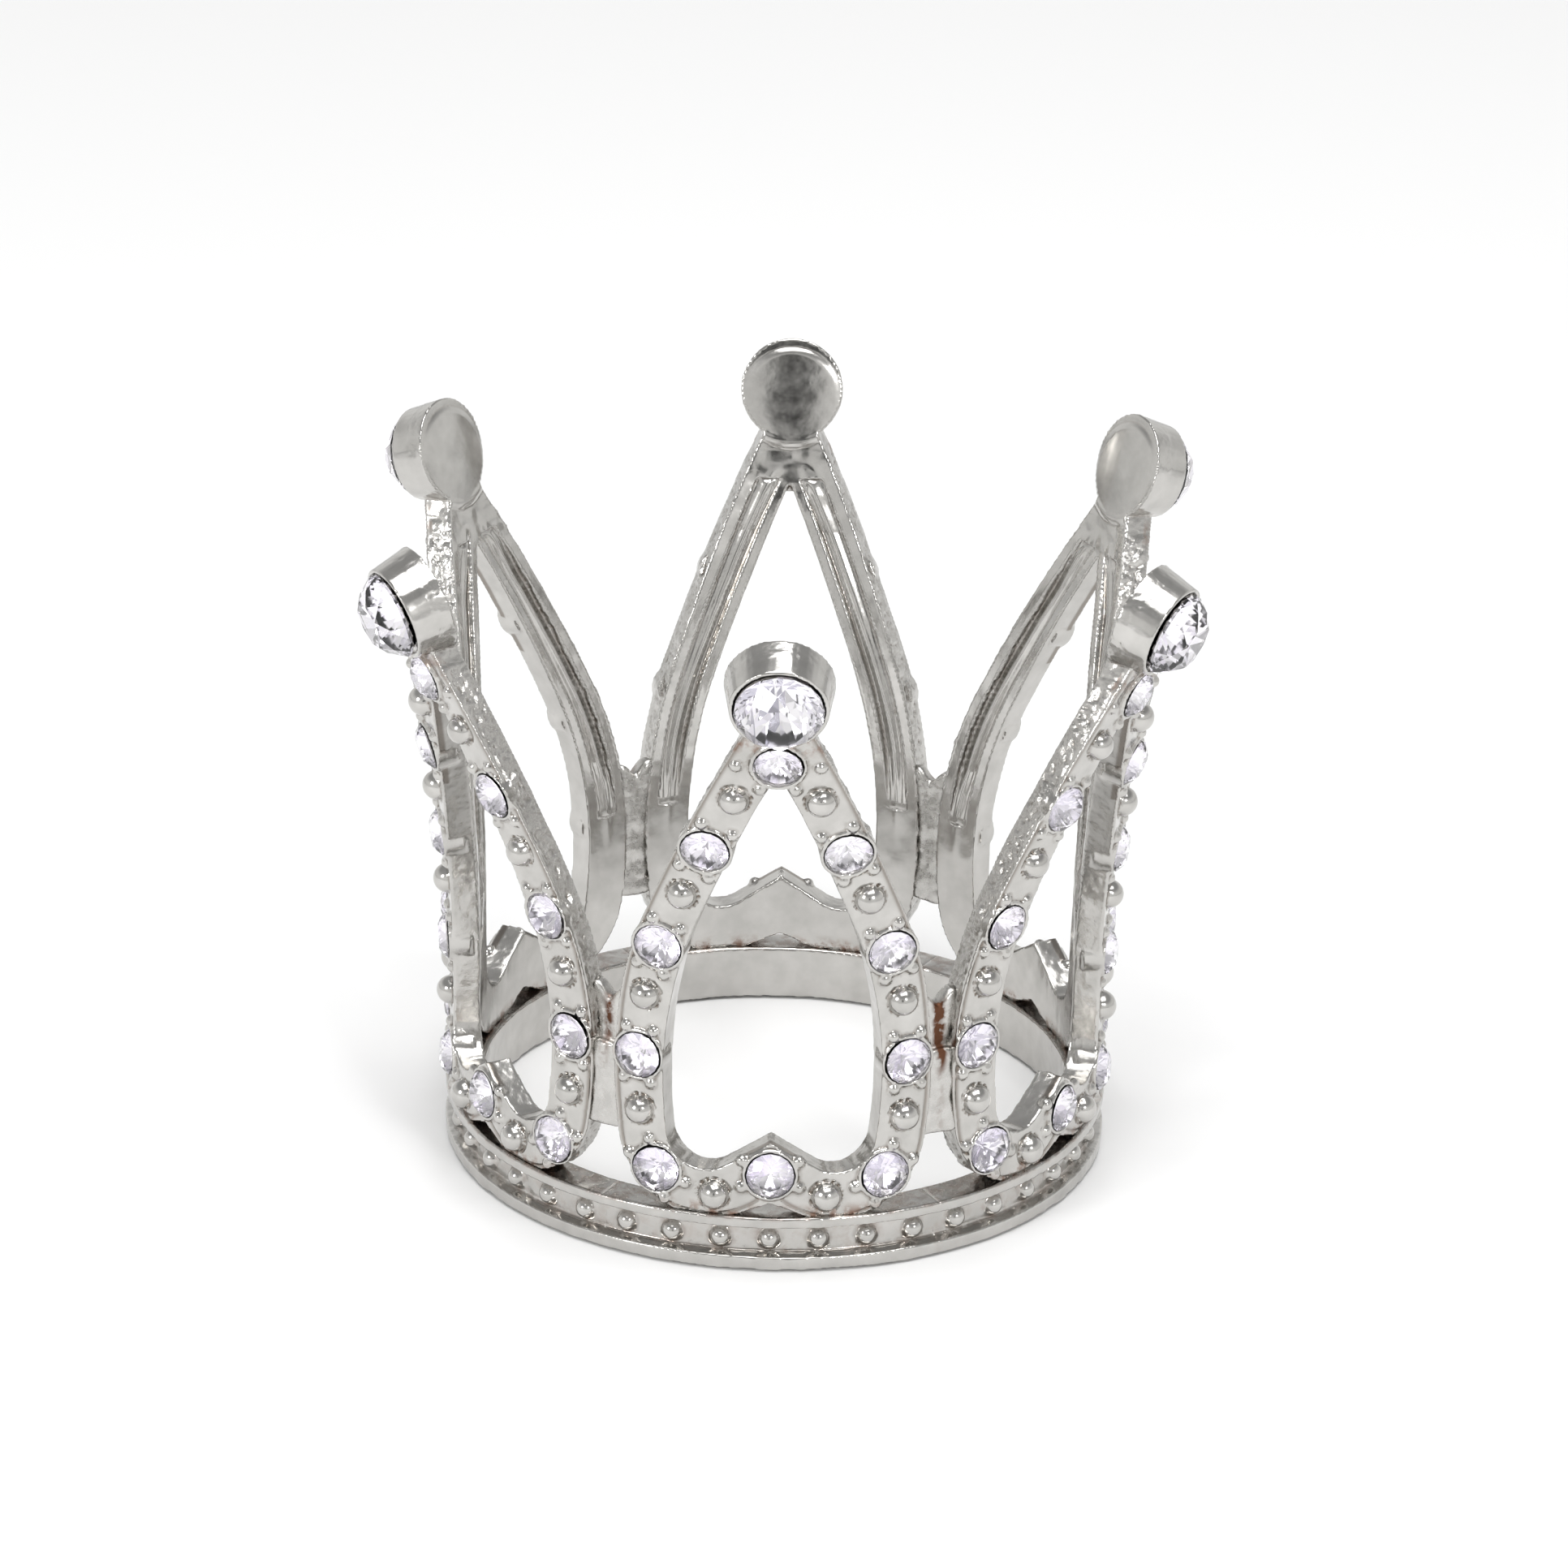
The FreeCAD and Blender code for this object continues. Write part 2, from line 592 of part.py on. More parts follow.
def main():
    doc = FreeCAD.newDocument("Crown")
    sheet = make_sheet(doc)
    count = int(sheet.petals)
    thickness = sheet.petal_outer_radius - sheet.petal_inner_radius
    cup_place = on_face(sheet, 0.0, sheet.cup_height, lift=-thickness)
    gem_place = on_face(sheet, 0.0, sheet.cup_height, lift=sheet.cup_length - thickness + sheet.gem_lift)

    stones = make_small_stones(doc, sheet)
    petal = make_petal(doc, sheet, cup_place, stones)
    gem = make_chaton(doc, "Gem", sheet.gem_radius, sheet.gem_crown, sheet.gem_girdle, sheet.gem_pavilion)
    cup = make_cup(doc, sheet)
    gem_in_cup = gather(doc, "GemInCup", [gem], Placement(Vector(0, 0, sheet.cup_length + sheet.gem_lift), Rotation()))
    bedded_cup = combine(doc, "Part::Cut", "BeddedCup", cup, gem_in_cup)
    doc.recompute()
    masters = {
        "ring_segment": (make_ring_segment(doc, sheet), Placement(Vector(), Rotation(Z_AXIS, -90))),
        "petal": (petal, Placement()),
        "stone_cup": (bedded_cup, cup_place),
        "large_stone": (gem, gem_place),
        "small_stones": (stones, Placement()),
        "side_solder": (make_solder(doc, sheet, petal), Placement()),
    }
    parts = []
    for label, (master, place) in masters.items():
        for index in range(count):
            parts.append(gather(doc, f"{label}_{index + 1}", [master], turned(index, count) * place))
    doc.recompute()
    check(doc, parts)
    os.makedirs("parts", exist_ok=True)
    for part in parts:
        part.Shape.exportStep(f"parts/{part.Label}.step")
        if part.Label.endswith("_1"):
            box = part.Shape.optimalBoundingBox()
            print(part.Label, len(part.Shape.Solids), round(part.Shape.Volume, 2), box)


main()
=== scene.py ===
"""Looks of a small plated-metal crown: six cast petals with faceted stones, standing on a beaded ring.

Lengths on the crown are millimetres until a mesh is stored; lamps, floor and camera are placed in metres.
The frame is the crown's own: +Z up, petal 1 facing -Y, and the others following every 60 degrees,
anticlockwise seen from above. Depth is how far a point is behind the petals' outer face, and off how far it
is outside the centreline of a petal's band.
"""

import itertools
import math
import random

import bmesh
import bpy
import numpy as np
from mathutils import Matrix, Vector


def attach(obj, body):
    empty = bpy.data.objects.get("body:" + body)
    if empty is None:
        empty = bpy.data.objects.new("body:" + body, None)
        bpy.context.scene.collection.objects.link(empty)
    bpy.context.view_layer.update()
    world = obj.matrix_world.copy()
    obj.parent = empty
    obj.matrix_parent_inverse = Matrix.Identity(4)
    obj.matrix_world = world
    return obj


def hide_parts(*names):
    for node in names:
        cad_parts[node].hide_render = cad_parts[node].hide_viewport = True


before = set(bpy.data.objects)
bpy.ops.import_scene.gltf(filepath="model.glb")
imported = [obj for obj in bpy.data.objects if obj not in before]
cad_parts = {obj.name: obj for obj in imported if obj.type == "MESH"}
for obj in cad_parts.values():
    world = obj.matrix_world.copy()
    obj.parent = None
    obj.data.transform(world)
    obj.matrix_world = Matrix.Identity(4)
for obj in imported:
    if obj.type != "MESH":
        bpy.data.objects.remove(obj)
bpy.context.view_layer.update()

PETALS = 6
MM = 0.001

# The petals' outer face: upright, bent outward from FLARE_START, straight once it leans by FLARE_ANGLE.
FACE_RADIUS = 21.85
THICKNESS = 1.85
FLARE_START = 12.5
FLARE_RADIUS = 73.0
FLARE_ANGLE = math.radians(18.0)

# The right half of a band's centreline on the unrolled petal: a round lobe at the foot, a belly arc, then a
# straight run up to the tip.
LOBE = (4.4, 9.3)
LOBE_RADIUS = 4.23
BELLY_HALFWIDTH = 8.9
BELLY_HEIGHT = 13.0
BELLY_RADIUS = 30.0
TIP_ANGLE = math.radians(23.2)

# The channel along the back of a band: its ends' heights, half width and depth, and the rounded ridge in it.
CHANNEL_BOTTOM = 15.0
CHANNEL_TOP = 37.0
CHANNEL_HALFWIDTH = 0.8
CHANNEL_DEPTH = 0.4
RIDGE_HEIGHT = 0.2
RIDGE_HALFWIDTH = 0.34

# A fine line runs along the face just inside the outer edge.
EDGE_LINE = 1.42
EDGE_LINE_DEPTH = 0.1
EDGE_LINE_HALFWIDTH = 0.13

# The cup at a petal's tip: its middle's height, its back's radius, the radius where the dome on that back
# fades, the dome's height and how much it falls off lengthwise. The cup's foot, and the neck's below it.
CUP_HEIGHT = 42.25
CUP_BACK_RADIUS = 3.5
CUP_DOME_RADIUS = 3.0
CUP_DOME = 0.22
CUP_DOME_LENGTHWISE = 0.3
CUP_BOTTOM = 38.9
NECK_BOTTOM = 37.8

# The ring's top, its channel's inner and outer radius, and how far the ends of its lengths run into each
# other, so that the joints close.
RING_TOP = 3.7
RING_CHANNEL = (20.8, 21.75)
SEAM_OVERLAP = 0.16

# The solder between the petals: the radius beyond which it shows dark, and how far a notch is melted into
# its top.
SOLDER_MIDDLE = 20.6
SOLDER_NOTCH = 0.9

# Stones, as parts of their girdle's radius, and their own sizes.
TABLE = 0.56
STAR = 0.79
PAVILION_MAIN = 0.32
SMALL_STONE = {"radius": 1.55, "crown": 0.52, "girdle": 0.1, "pavilion": 1.1}
LARGE_STONE = {"radius": 2.84, "crown": 1.45, "girdle": 0.18, "pavilion": 2.0}

# Colours of the metal: dull and bright patches, dirt with painted shade in hollows and grooves, brown stains
# and burnt flux.
METAL_DULL = (0.47, 0.46, 0.44)
METAL_BRIGHT = (0.57, 0.558, 0.537)
DIRT_AND_SHADE = (0.16, 0.13, 0.105)
STAIN = (0.20, 0.105, 0.065)
FLUX = (0.13, 0.06, 0.035)

# The room's light, level and overhead, and how high and how wide the dark camera stand is.
ROOM_LEVEL = (0.90, 0.90, 0.89)
ROOM_ABOVE = (0.42, 0.42, 0.42)
STAND_COLOUR = (0.03, 0.03, 0.03)
STAND_ELEVATION = math.radians(16.5)
STAND_EDGE = (math.radians(6.0), math.radians(7.5))

# The point that the lamps aim at and their distance from it, in metres.
LIGHT_AIM = Vector((0, 0, 0.022))
LIGHT_DISTANCE = 0.60

# Cast skins: how fine their mesh is, and how often it is smoothed.
PETAL_VOXEL = 0.104
RING_VOXEL = 0.12
SOLDER_VOXEL = 0.12
CAST_ROUNDS = 1
SOLDER_ROUNDS = 20


# ---- helpers --------------------------------------------------------------------------------------


def turned(points, index):
    """Points of the front petal's place, turned to another petal's."""
    angle = index * 2 * math.pi / PETALS
    c, s = math.cos(angle), math.sin(angle)
    return np.asarray(points) @ np.array([[c, s, 0], [-s, c, 0], [0, 0, 1]])


def hashed(cells, seed):
    """A repeatable number from -1 to 1 for each lattice cell."""
    mixed = np.sin(cells @ np.array([127.1, 311.7, 74.7]) + seed * 19.19) * 43758.5453
    return 2 * (mixed - np.floor(mixed)) - 1


def noise(points, size, seed):
    """Smooth noise from -1 to 1 in lumps of a size."""
    scaled = points / size
    cells = np.floor(scaled)
    part = scaled - cells
    part = part * part * (3 - 2 * part)
    total = np.zeros(len(points))
    for corner in itertools.product((0, 1), repeat=3):
        weight = np.ones(len(points))
        for axis in range(3):
            weight = weight * (part[:, axis] if corner[axis] else 1 - part[:, axis])
        total += weight * hashed(cells + np.array(corner), seed)
    return total


def face_radius(height):
    """Radius of the petals' outer face at each height."""
    height = np.asarray(height, float)
    turn = np.arcsin(np.clip((height - FLARE_START) / FLARE_RADIUS, 0, math.sin(FLARE_ANGLE)))
    straight = np.maximum(0, height - FLARE_START - FLARE_RADIUS * math.sin(FLARE_ANGLE))
    return FACE_RADIUS + FLARE_RADIUS * (1 - np.cos(turn)) + straight * math.tan(FLARE_ANGLE)


def outward(point):
    """Unit vector out of the petals' face at a point near it."""
    lean = min(math.asin(max(0.0, point[2] - FLARE_START) / FLARE_RADIUS), FLARE_ANGLE)
    flat = Vector((point[0], point[1], 0)).normalized()
    return (flat * math.cos(lean) - Vector((0, 0, math.sin(lean)))).normalized()


def skin_of(nodes, voxel, rounds):
    """One closed, evenly meshed skin round CAD nodes, its edges softened, as a mesh in millimetres."""
    draft = bmesh.new()
    for node in nodes:
        draft.from_mesh(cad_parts[node].data)
    bmesh.ops.scale(draft, vec=(1 / MM,) * 3, verts=draft.verts)
    mesh = bpy.data.meshes.new("draft")
    draft.to_mesh(mesh)
    draft.free()
    holder = bpy.data.objects.new("draft", mesh)
    bpy.context.scene.collection.objects.link(holder)
    remesh = holder.modifiers.new("Remesh", "REMESH")
    remesh.mode = "VOXEL"
    remesh.voxel_size = voxel
    smooth = holder.modifiers.new("Smooth", "SMOOTH")
    smooth.factor = 0.5
    smooth.iterations = rounds
    depsgraph = bpy.context.evaluated_depsgraph_get()
    skin = bpy.data.meshes.new_from_object(holder.evaluated_get(depsgraph))
    bpy.data.objects.remove(holder)
    return skin


def points_of(mesh, field="co"):
    """A mesh's points, or their normals, as rows."""
    flat = np.empty(len(mesh.vertices) * 3, np.float32)
    if field == "co":
        mesh.vertices.foreach_get("co", flat)
    else:
        mesh.vertex_normals.foreach_get("vector", flat)
    return flat.reshape(-1, 3).astype(float)


def place_skin(name, skin, points, material, nodes, marks):
    """A piece with a skin's faces, its own points and its own per-point marks, standing for CAD nodes."""
    mesh = skin.copy()
    mesh.name = name
    mesh.vertices.foreach_set("co", (points * MM).astype(np.float32).ravel())
    for mark, values in marks.items():
        layer = mesh.attributes.new(mark, "FLOAT", "POINT")
        layer.data.foreach_set("value", values.astype(np.float32))
    mesh.polygons.foreach_set("use_smooth", np.ones(len(mesh.polygons), bool))
    mesh.materials.clear()
    mesh.materials.append(material)
    mesh.update()
    return add_piece(name, mesh, nodes)


def add_piece(name, mesh, nodes):
    """A mesh as a piece that rides on the crown and stands for CAD nodes."""
    piece = bpy.data.objects.new(name, mesh)
    bpy.context.scene.collection.objects.link(piece)
    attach(piece, "root")
    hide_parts(*nodes)
    return piece


# ---- materials ------------------------------------------------------------------------------------


class Shader:
    """A material's nodes, with short ways to add and join them."""

    def __init__(self, name):
        self.material = bpy.data.materials.new(name)
        self.material.use_nodes = True
        self.tree = self.material.node_tree
        self.surface = self.tree.nodes["Principled BSDF"]
        self.place = self.tree.nodes.new("ShaderNodeTexCoord").outputs["Object"]

    def add(self, kind, **inputs):
        """A node; inputs are numbers, colours or sockets, by the input's name with _ for a space."""
        node = self.tree.nodes.new("ShaderNode" + kind)
        self.set(node, **inputs)
        return node

    def set(self, node, **inputs):
        """Gives a node's inputs their values or links."""
        for name, value in inputs.items():
            socket = node.inputs[name.replace("_", " ")]
            if isinstance(value, bpy.types.NodeSocket):
                self.tree.links.new(value, socket)
            else:
                socket.default_value = value

    def lumps(self, size, detail=3.0, roughness=0.55):
        """Noise from 0 to 1 with lumps of a size in millimetres."""
        node = self.add("TexNoise", Vector=self.place, Scale=1 / (size * MM))
        self.set(node, Detail=detail, Roughness=roughness)
        return node.outputs["Fac"]

    def mark(self, name):
        """A per-point mark of the mesh."""
        node = self.tree.nodes.new("ShaderNodeAttribute")
        node.attribute_name = name
        return node.outputs["Fac"]

    def ramp(self, value, *stops):
        """A colour ramp; each stop is (place, colour)."""
        node = self.tree.nodes.new("ShaderNodeValToRGB")
        self.tree.links.new(value, node.inputs["Fac"])
        elements = node.color_ramp.elements
        while len(elements) < len(stops):
            elements.new(0.5)
        for element, (where, colour) in zip(elements, stops):
            element.position = where
            element.color = (*colour, 1) if len(colour) == 3 else colour
        return node.outputs["Color"]

    def span(self, value, low, high, to_low, to_high):
        """A value stretched from one range to another, and held inside it."""
        node = self.add("MapRange", Value=value)
        self.set(node, From_Min=low, From_Max=high, To_Min=to_low, To_Max=to_high)
        return node.outputs["Result"]

    def sums(self, kind, first, second):
        """Arithmetic on two values."""
        node = self.tree.nodes.new("ShaderNodeMath")
        node.operation = kind
        for socket, value in zip(node.inputs, (first, second)):
            if isinstance(value, bpy.types.NodeSocket):
                self.tree.links.new(value, socket)
            else:
                socket.default_value = value
        return node.outputs["Value"]

    def mix(self, share, first, second):
        """Blend of two colours."""
        node = self.tree.nodes.new("ShaderNodeMix")
        node.data_type = "RGBA"
        for socket, value in ((node.inputs[0], share), (node.inputs[6], first), (node.inputs[7], second)):
            if isinstance(value, bpy.types.NodeSocket):
                self.tree.links.new(value, socket)
            else:
                socket.default_value = value if isinstance(value, float) else (*value, 1)
        return node.outputs[2]

    def bump(self, height, depth):
        """Surface normal disturbed by a height, whose full swing is depth in millimetres."""
        node = self.add("Bump", Height=height, Strength=1.0, Distance=depth * MM)
        return node.outputs["Normal"]


def plated_metal():
    """Bright cast metal under thin plating: satin faces, painted shade with dirt in hollows and grooves,
    brown stains at the joints.
    """
    s = Shader("plated_metal")
    tone = s.ramp(s.lumps(1.6, 5.0), (0.3, METAL_DULL), (0.7, METAL_BRIGHT))
    geometry = s.tree.nodes.new("ShaderNodeNewGeometry")
    # Painted shade with dirt: the colour goes darker and browner in hollows, found by pointiness, and in the
    # marked grooves and moats.
    hollow_shade_and_dirt = s.span(geometry.outputs["Pointiness"], 0.44, 0.495, 0.95, 0.0)
    shade_and_dirt = s.sums("MAXIMUM", hollow_shade_and_dirt, s.sums("MULTIPLY", s.mark("line"), 0.7))
    tone = s.mix(shade_and_dirt, tone, DIRT_AND_SHADE)
    stain = s.sums("MULTIPLY", s.mark("stain"), s.span(s.lumps(0.8, 5.0, 0.62), 0.44, 0.62, 0.0, 1.0))
    tone = s.mix(stain, tone, STAIN)
    rough = s.span(s.lumps(0.9, 4.0), 0.3, 0.7, 0.13, 0.21)
    rough = s.sums("ADD", rough, s.sums("MULTIPLY", stain, 0.3))
    rough = s.sums("ADD", rough, s.sums("MULTIPLY", s.mark("raw"), 0.04))
    grit = s.sums("MULTIPLY", s.lumps(0.17, 3.0), s.span(s.mark("raw"), 0.0, 1.0, 0.05, 1.6))
    relief = s.sums("ADD", grit, s.sums("MULTIPLY", s.lumps(1.1, 2.0), 0.5))
    s.set(s.surface, Base_Color=tone, Roughness=rough, Normal=s.bump(relief, 0.022), Metallic=1.0)
    return s.material


def solder_metal():
    """Rough solder: grey lumps, with dark brown flux in the crevice between the petals."""
    s = Shader("solder")
    patches = s.span(s.lumps(0.7, 5.0, 0.65), 0.40, 0.55, 0.0, 1.0)
    burnt = s.span(s.sums("MULTIPLY", s.mark("stain"), s.sums("ADD", patches, 0.5)), 0.15, 0.75, 0.0, 1.0)
    tone = s.ramp(s.lumps(0.8, 4.0), (0.3, METAL_DULL), (0.7, METAL_BRIGHT))
    tone = s.mix(burnt, tone, FLUX)
    rough = s.sums("ADD", s.span(s.lumps(0.4, 4.0), 0.3, 0.7, 0.2, 0.34), s.sums("MULTIPLY", burnt, 0.25))
    s.set(s.surface, Base_Color=tone, Roughness=rough, Normal=s.bump(s.lumps(0.4, 4.0), 0.03), Metallic=1.0)
    return s.material


def crystal():
    """Clear glass with a breath of lilac."""
    s = Shader("crystal")
    tint = s.ramp(s.lumps(1.4, 2.0), (0.35, (1.0, 0.99, 1.0)), (0.65, (0.975, 0.96, 1.0)))
    s.set(s.surface, Base_Color=tint, Roughness=s.span(s.lumps(0.5, 2.0), 0.3, 0.7, 0.0, 0.02), IOR=1.58)
    s.set(s.surface, Transmission_Weight=1.0)
    return s.material


def foil(name, darkest, roughest):
    """Mirror foil on a stone's back, each facet painted a slightly different lilac or grey, standing in for
    the crystal's fire and its darker facet reflections.
    """
    s = Shader(name)
    # Painted light: random per-facet tints, from dark grey to lilac and white, stand in for fire and dark
    # reflections in the stone.
    tint = s.ramp(
        s.mark("facet"),
        (0.0, darkest),
        (0.18, (0.92, 0.90, 0.96)),
        (0.75, (1.0, 0.995, 1.0)),
        (1.0, (0.95, 0.91, 1.0)),
    )
    rough = s.span(s.lumps(0.6, 2.0), 0.3, 0.7, 0.6 * roughest, roughest)
    s.set(s.surface, Base_Color=tint, Roughness=rough, Metallic=1.0)
    return s.material


# ---- petals and cups ------------------------------------------------------------------------------


def ramped(values, start, end):
    """0 at start, 1 at end and beyond, straight between."""
    return np.clip((values - start) / (end - start), 0, 1)


def bell(values, halfwidth):
    """1 at zero, falling off smoothly to both sides."""
    return np.exp(-((values / halfwidth) ** 2))


def round_angle(points):
    """How far round the crown each point is from petal 1's middle, to either side."""
    return np.abs(np.arctan2(points[:, 0], -points[:, 1]))


def radius_of(points):
    """Distance from the crown's axis."""
    return np.linalg.norm(points[:, :2], axis=1)


def depth_of(points):
    """How far each point is behind the petals' outer face."""
    return face_radius(points[:, 2]) - radius_of(points)


def facing_of(points, normals):
    """1 where the surface faces straight out of the crown, -1 where it faces its axis."""
    flat = points[:, :2] / np.linalg.norm(points[:, :2], axis=1, keepdims=True)
    return (normals[:, :2] * flat).sum(1)


def band_offset(points):
    """How far each point is outside the band's centreline, on the unrolled petal; inside is negative."""
    along, height = round_angle(points) * FACE_RADIUS, points[:, 2]
    across, up = along - (BELLY_HALFWIDTH - BELLY_RADIUS), height - BELLY_HEIGHT
    straight = across * math.cos(TIP_ANGLE) + up * math.sin(TIP_ANGLE) - BELLY_RADIUS
    belly = np.hypot(across, up) - BELLY_RADIUS
    lobe = np.hypot(along - LOBE[0], height - LOBE[1]) - LOBE_RADIUS
    side = np.where(np.arctan2(up, across) > TIP_ANGLE, straight, belly)
    return np.where(height < LOBE[1], lobe, side)


def petal_marks(points, normals):
    """Per-point marks of the front petal: raw side wall and solder stain."""
    height, depth = points[:, 2], depth_of(points)
    inside = ramped(depth, 0.35, 0.55) * ramped(depth, THICKNESS + 0.3, THICKNESS + 0.1)
    sideways = np.clip(1.6 - 2.2 * np.abs(facing_of(points, normals)), 0, 1)
    raw = sideways * inside * np.where(band_offset(points) > 0, 1.0, 0.12)
    raw *= 1 - 0.75 * ramped(height, NECK_BOTTOM, NECK_BOTTOM + 1.0)
    joint = ramped(round_angle(points), math.radians(26.6), math.radians(28.2)) * (height < 19)
    foot = ramped(height, RING_TOP + 1.0, RING_TOP + 0.2)
    neck = ramped(height, NECK_BOTTOM, NECK_BOTTOM + 0.6) * (depth < 0.6)
    neck *= ramped(height, NECK_BOTTOM + 1.9, NECK_BOTTOM + 1.3)
    stain = np.maximum.reduce([0.3 * joint, 0.8 * foot, 0.6 * neck])
    return raw, stain


def filled_ends(points):
    """The front petal's points with the ends of the channels in its back sloping up to the surface."""
    height, depth = points[:, 2], depth_of(points)
    inside = np.abs(band_offset(points)) < CHANNEL_HALFWIDTH + 0.3
    floor = depth > THICKNESS - CHANNEL_DEPTH - 0.12
    low_end = ramped(height, CHANNEL_BOTTOM + 4.0, CHANNEL_BOTTOM + 0.5)
    high_end = ramped(height, CHANNEL_TOP - 3.5, CHANNEL_TOP - 0.5)
    ends = np.maximum(low_end, high_end)
    ends *= (height > CHANNEL_BOTTOM - 0.5) * (height < CHANNEL_TOP + 0.5)
    fill = np.maximum(0, THICKNESS - depth) * inside * floor * ends
    filled = points.copy()
    filled[:, :2] *= (1 - fill / radius_of(points))[:, None]
    return filled


def band_relief(points, normals):
    """Height of a band's ridge behind, of its line in front and of its cup's dome, and where the metal
    paints shade with dirt.
    """
    height, depth, off = points[:, 2], depth_of(points), band_offset(points)
    facing = facing_of(points, normals)
    inward = ramped(-facing, 0.6, 0.9)
    ridge = inward * (depth > 1.0) * ramped(height, 12.0, 18.5) * ramped(height, 38.0, 36.0)
    ridge *= bell(off, RIDGE_HALFWIDTH)
    line = ramped(facing, 0.7, 0.9) * (np.abs(depth) < 0.15) * bell(off - EDGE_LINE, EDGE_LINE_HALFWIDTH)
    # The moat round stones and beads, where the metal paints shade with dirt.
    moat = ramped(depth, 0.05, 0.12) * ramped(depth, 0.6, 0.45) * (np.abs(off) < 1.5)
    moat *= (facing > -0.2) * (height < 39)
    up = height - CUP_HEIGHT
    edge = ramped(np.hypot(points[:, 0], up / math.cos(FLARE_ANGLE)), CUP_BACK_RADIUS, CUP_DOME_RADIUS)
    reach = (points[:, 0] ** 2 + CUP_DOME_LENGTHWISE * up**2) / CUP_BACK_RADIUS**2
    dome = inward * edge * (2 - edge) * np.maximum(0, 1 - reach)
    return RIDGE_HEIGHT * ridge - EDGE_LINE_DEPTH * line + CUP_DOME * dome, np.maximum(line, moat)


def make_petals(metal):
    """The six petals with their tip cups, each cast slightly differently."""
    skin = skin_of(["petal_1", "stone_cup_1"], PETAL_VOXEL, CAST_ROUNDS)
    points, normals = points_of(skin), points_of(skin, "normal")
    raw, stain = petal_marks(points, normals)
    relief, line = band_relief(points, normals)
    # The line mark holds the edge line's groove and the moats; the metal paints shade with dirt there.
    marks = {"raw": raw, "stain": stain, "line": line}
    height = points[:, 2]
    calm = np.where(height > CUP_BOTTOM, 0.4, 1.0)
    neck = ramped(height, 35.0, 37.5) * ramped(height, 39.5, 38.0)
    points = filled_ends(points)
    for index in range(PETALS):
        seed = index + 1
        lift = relief + calm * (0.045 * noise(points, 2.6, seed) + 0.012 * noise(points, 0.9, seed + 10))
        lift += raw * (0.08 * noise(points, 0.55, seed + 20) + 0.06 * noise(points, 0.25, seed + 30))
        lift += neck * 0.06 * noise(points, 0.8, seed + 40)
        shaped = turned(points + normals * lift[:, None], index)
        nodes = [f"petal_{index + 1}", f"stone_cup_{index + 1}"]
        place_skin(f"cast_petal_{index + 1}", skin, shaped, metal, nodes, marks)


# ---- ring and solder ------------------------------------------------------------------------------


def make_ring(metal):
    """The six beaded lengths of the base ring, whose surface runs on from each to the next."""
    skin = skin_of(["ring_segment_1"], RING_VOXEL, CAST_ROUNDS)
    points, normals = points_of(skin), points_of(skin, "normal")
    height, radius = points[:, 2], radius_of(points)
    seam = ramped(round_angle(points), math.radians(28.9), math.radians(29.9))
    top = ramped(height, RING_TOP - 0.3, RING_TOP - 0.05)
    channel = ramped(radius, RING_CHANNEL[1], RING_CHANNEL[1] - 0.3) * (radius > RING_CHANNEL[0])
    channel *= ramped(height, RING_TOP - 0.6, RING_TOP - 0.9)
    stain = np.maximum.reduce([0.2 * seam, 0.4 * top, 0.2 * channel])
    push = SEAM_OVERLAP * np.sign(points[:, 0]) * seam
    points[:, 0] += push * math.cos(math.pi / PETALS)
    points[:, 1] += np.abs(push) * math.sin(math.pi / PETALS)
    for index in range(PETALS):
        placed = turned(points, index)
        lift = 0.035 * noise(placed, 1.8, 50) + 0.015 * noise(placed, 0.5, 60)
        shaped = placed + turned(normals, index) * lift[:, None]
        name = f"ring_segment_{index + 1}"
        place_skin("cast_" + name, skin, shaped, metal, [name], {"stain": stain})


def make_solder(solder):
    """The six lumpy solder joints between the petals; the one at the front right is the most burnt."""
    skin = skin_of(["side_solder_1"], SOLDER_VOXEL, SOLDER_ROUNDS)
    points, normals = points_of(skin), points_of(skin, "normal")
    radius = radius_of(points)
    aside = np.degrees(round_angle(points)) - 180 / PETALS
    inner = ramped(radius, SOLDER_MIDDLE, SOLDER_MIDDLE - 0.4)
    crevice = bell(aside, 1.0) * ramped(radius, SOLDER_MIDDLE, SOLDER_MIDDLE + 0.4)
    points[:, 2] -= SOLDER_NOTCH * bell(aside, 1.6) * ramped(points[:, 2], 15.5, 18.0)
    flux = crevice * (0.15 + 0.85 * ramped(points[:, 2], 12.5, 15.5))
    for index in range(PETALS):
        seed = 90 + index
        lift = 0.12 + 0.12 * noise(points, 1.1, seed) + 0.04 * noise(points, 0.4, seed + 10) + 0.2 * inner
        shaped = turned(points + normals * lift[:, None], index)
        stain = 0.05 + flux * (1.0 if index == 1 else 0.5)
        name = f"side_solder_{index + 1}"
        place_skin("rough_" + name, skin, shaped, solder, [name], {"stain": stain})


# ---- stones ---------------------------------------------------------------------------------------


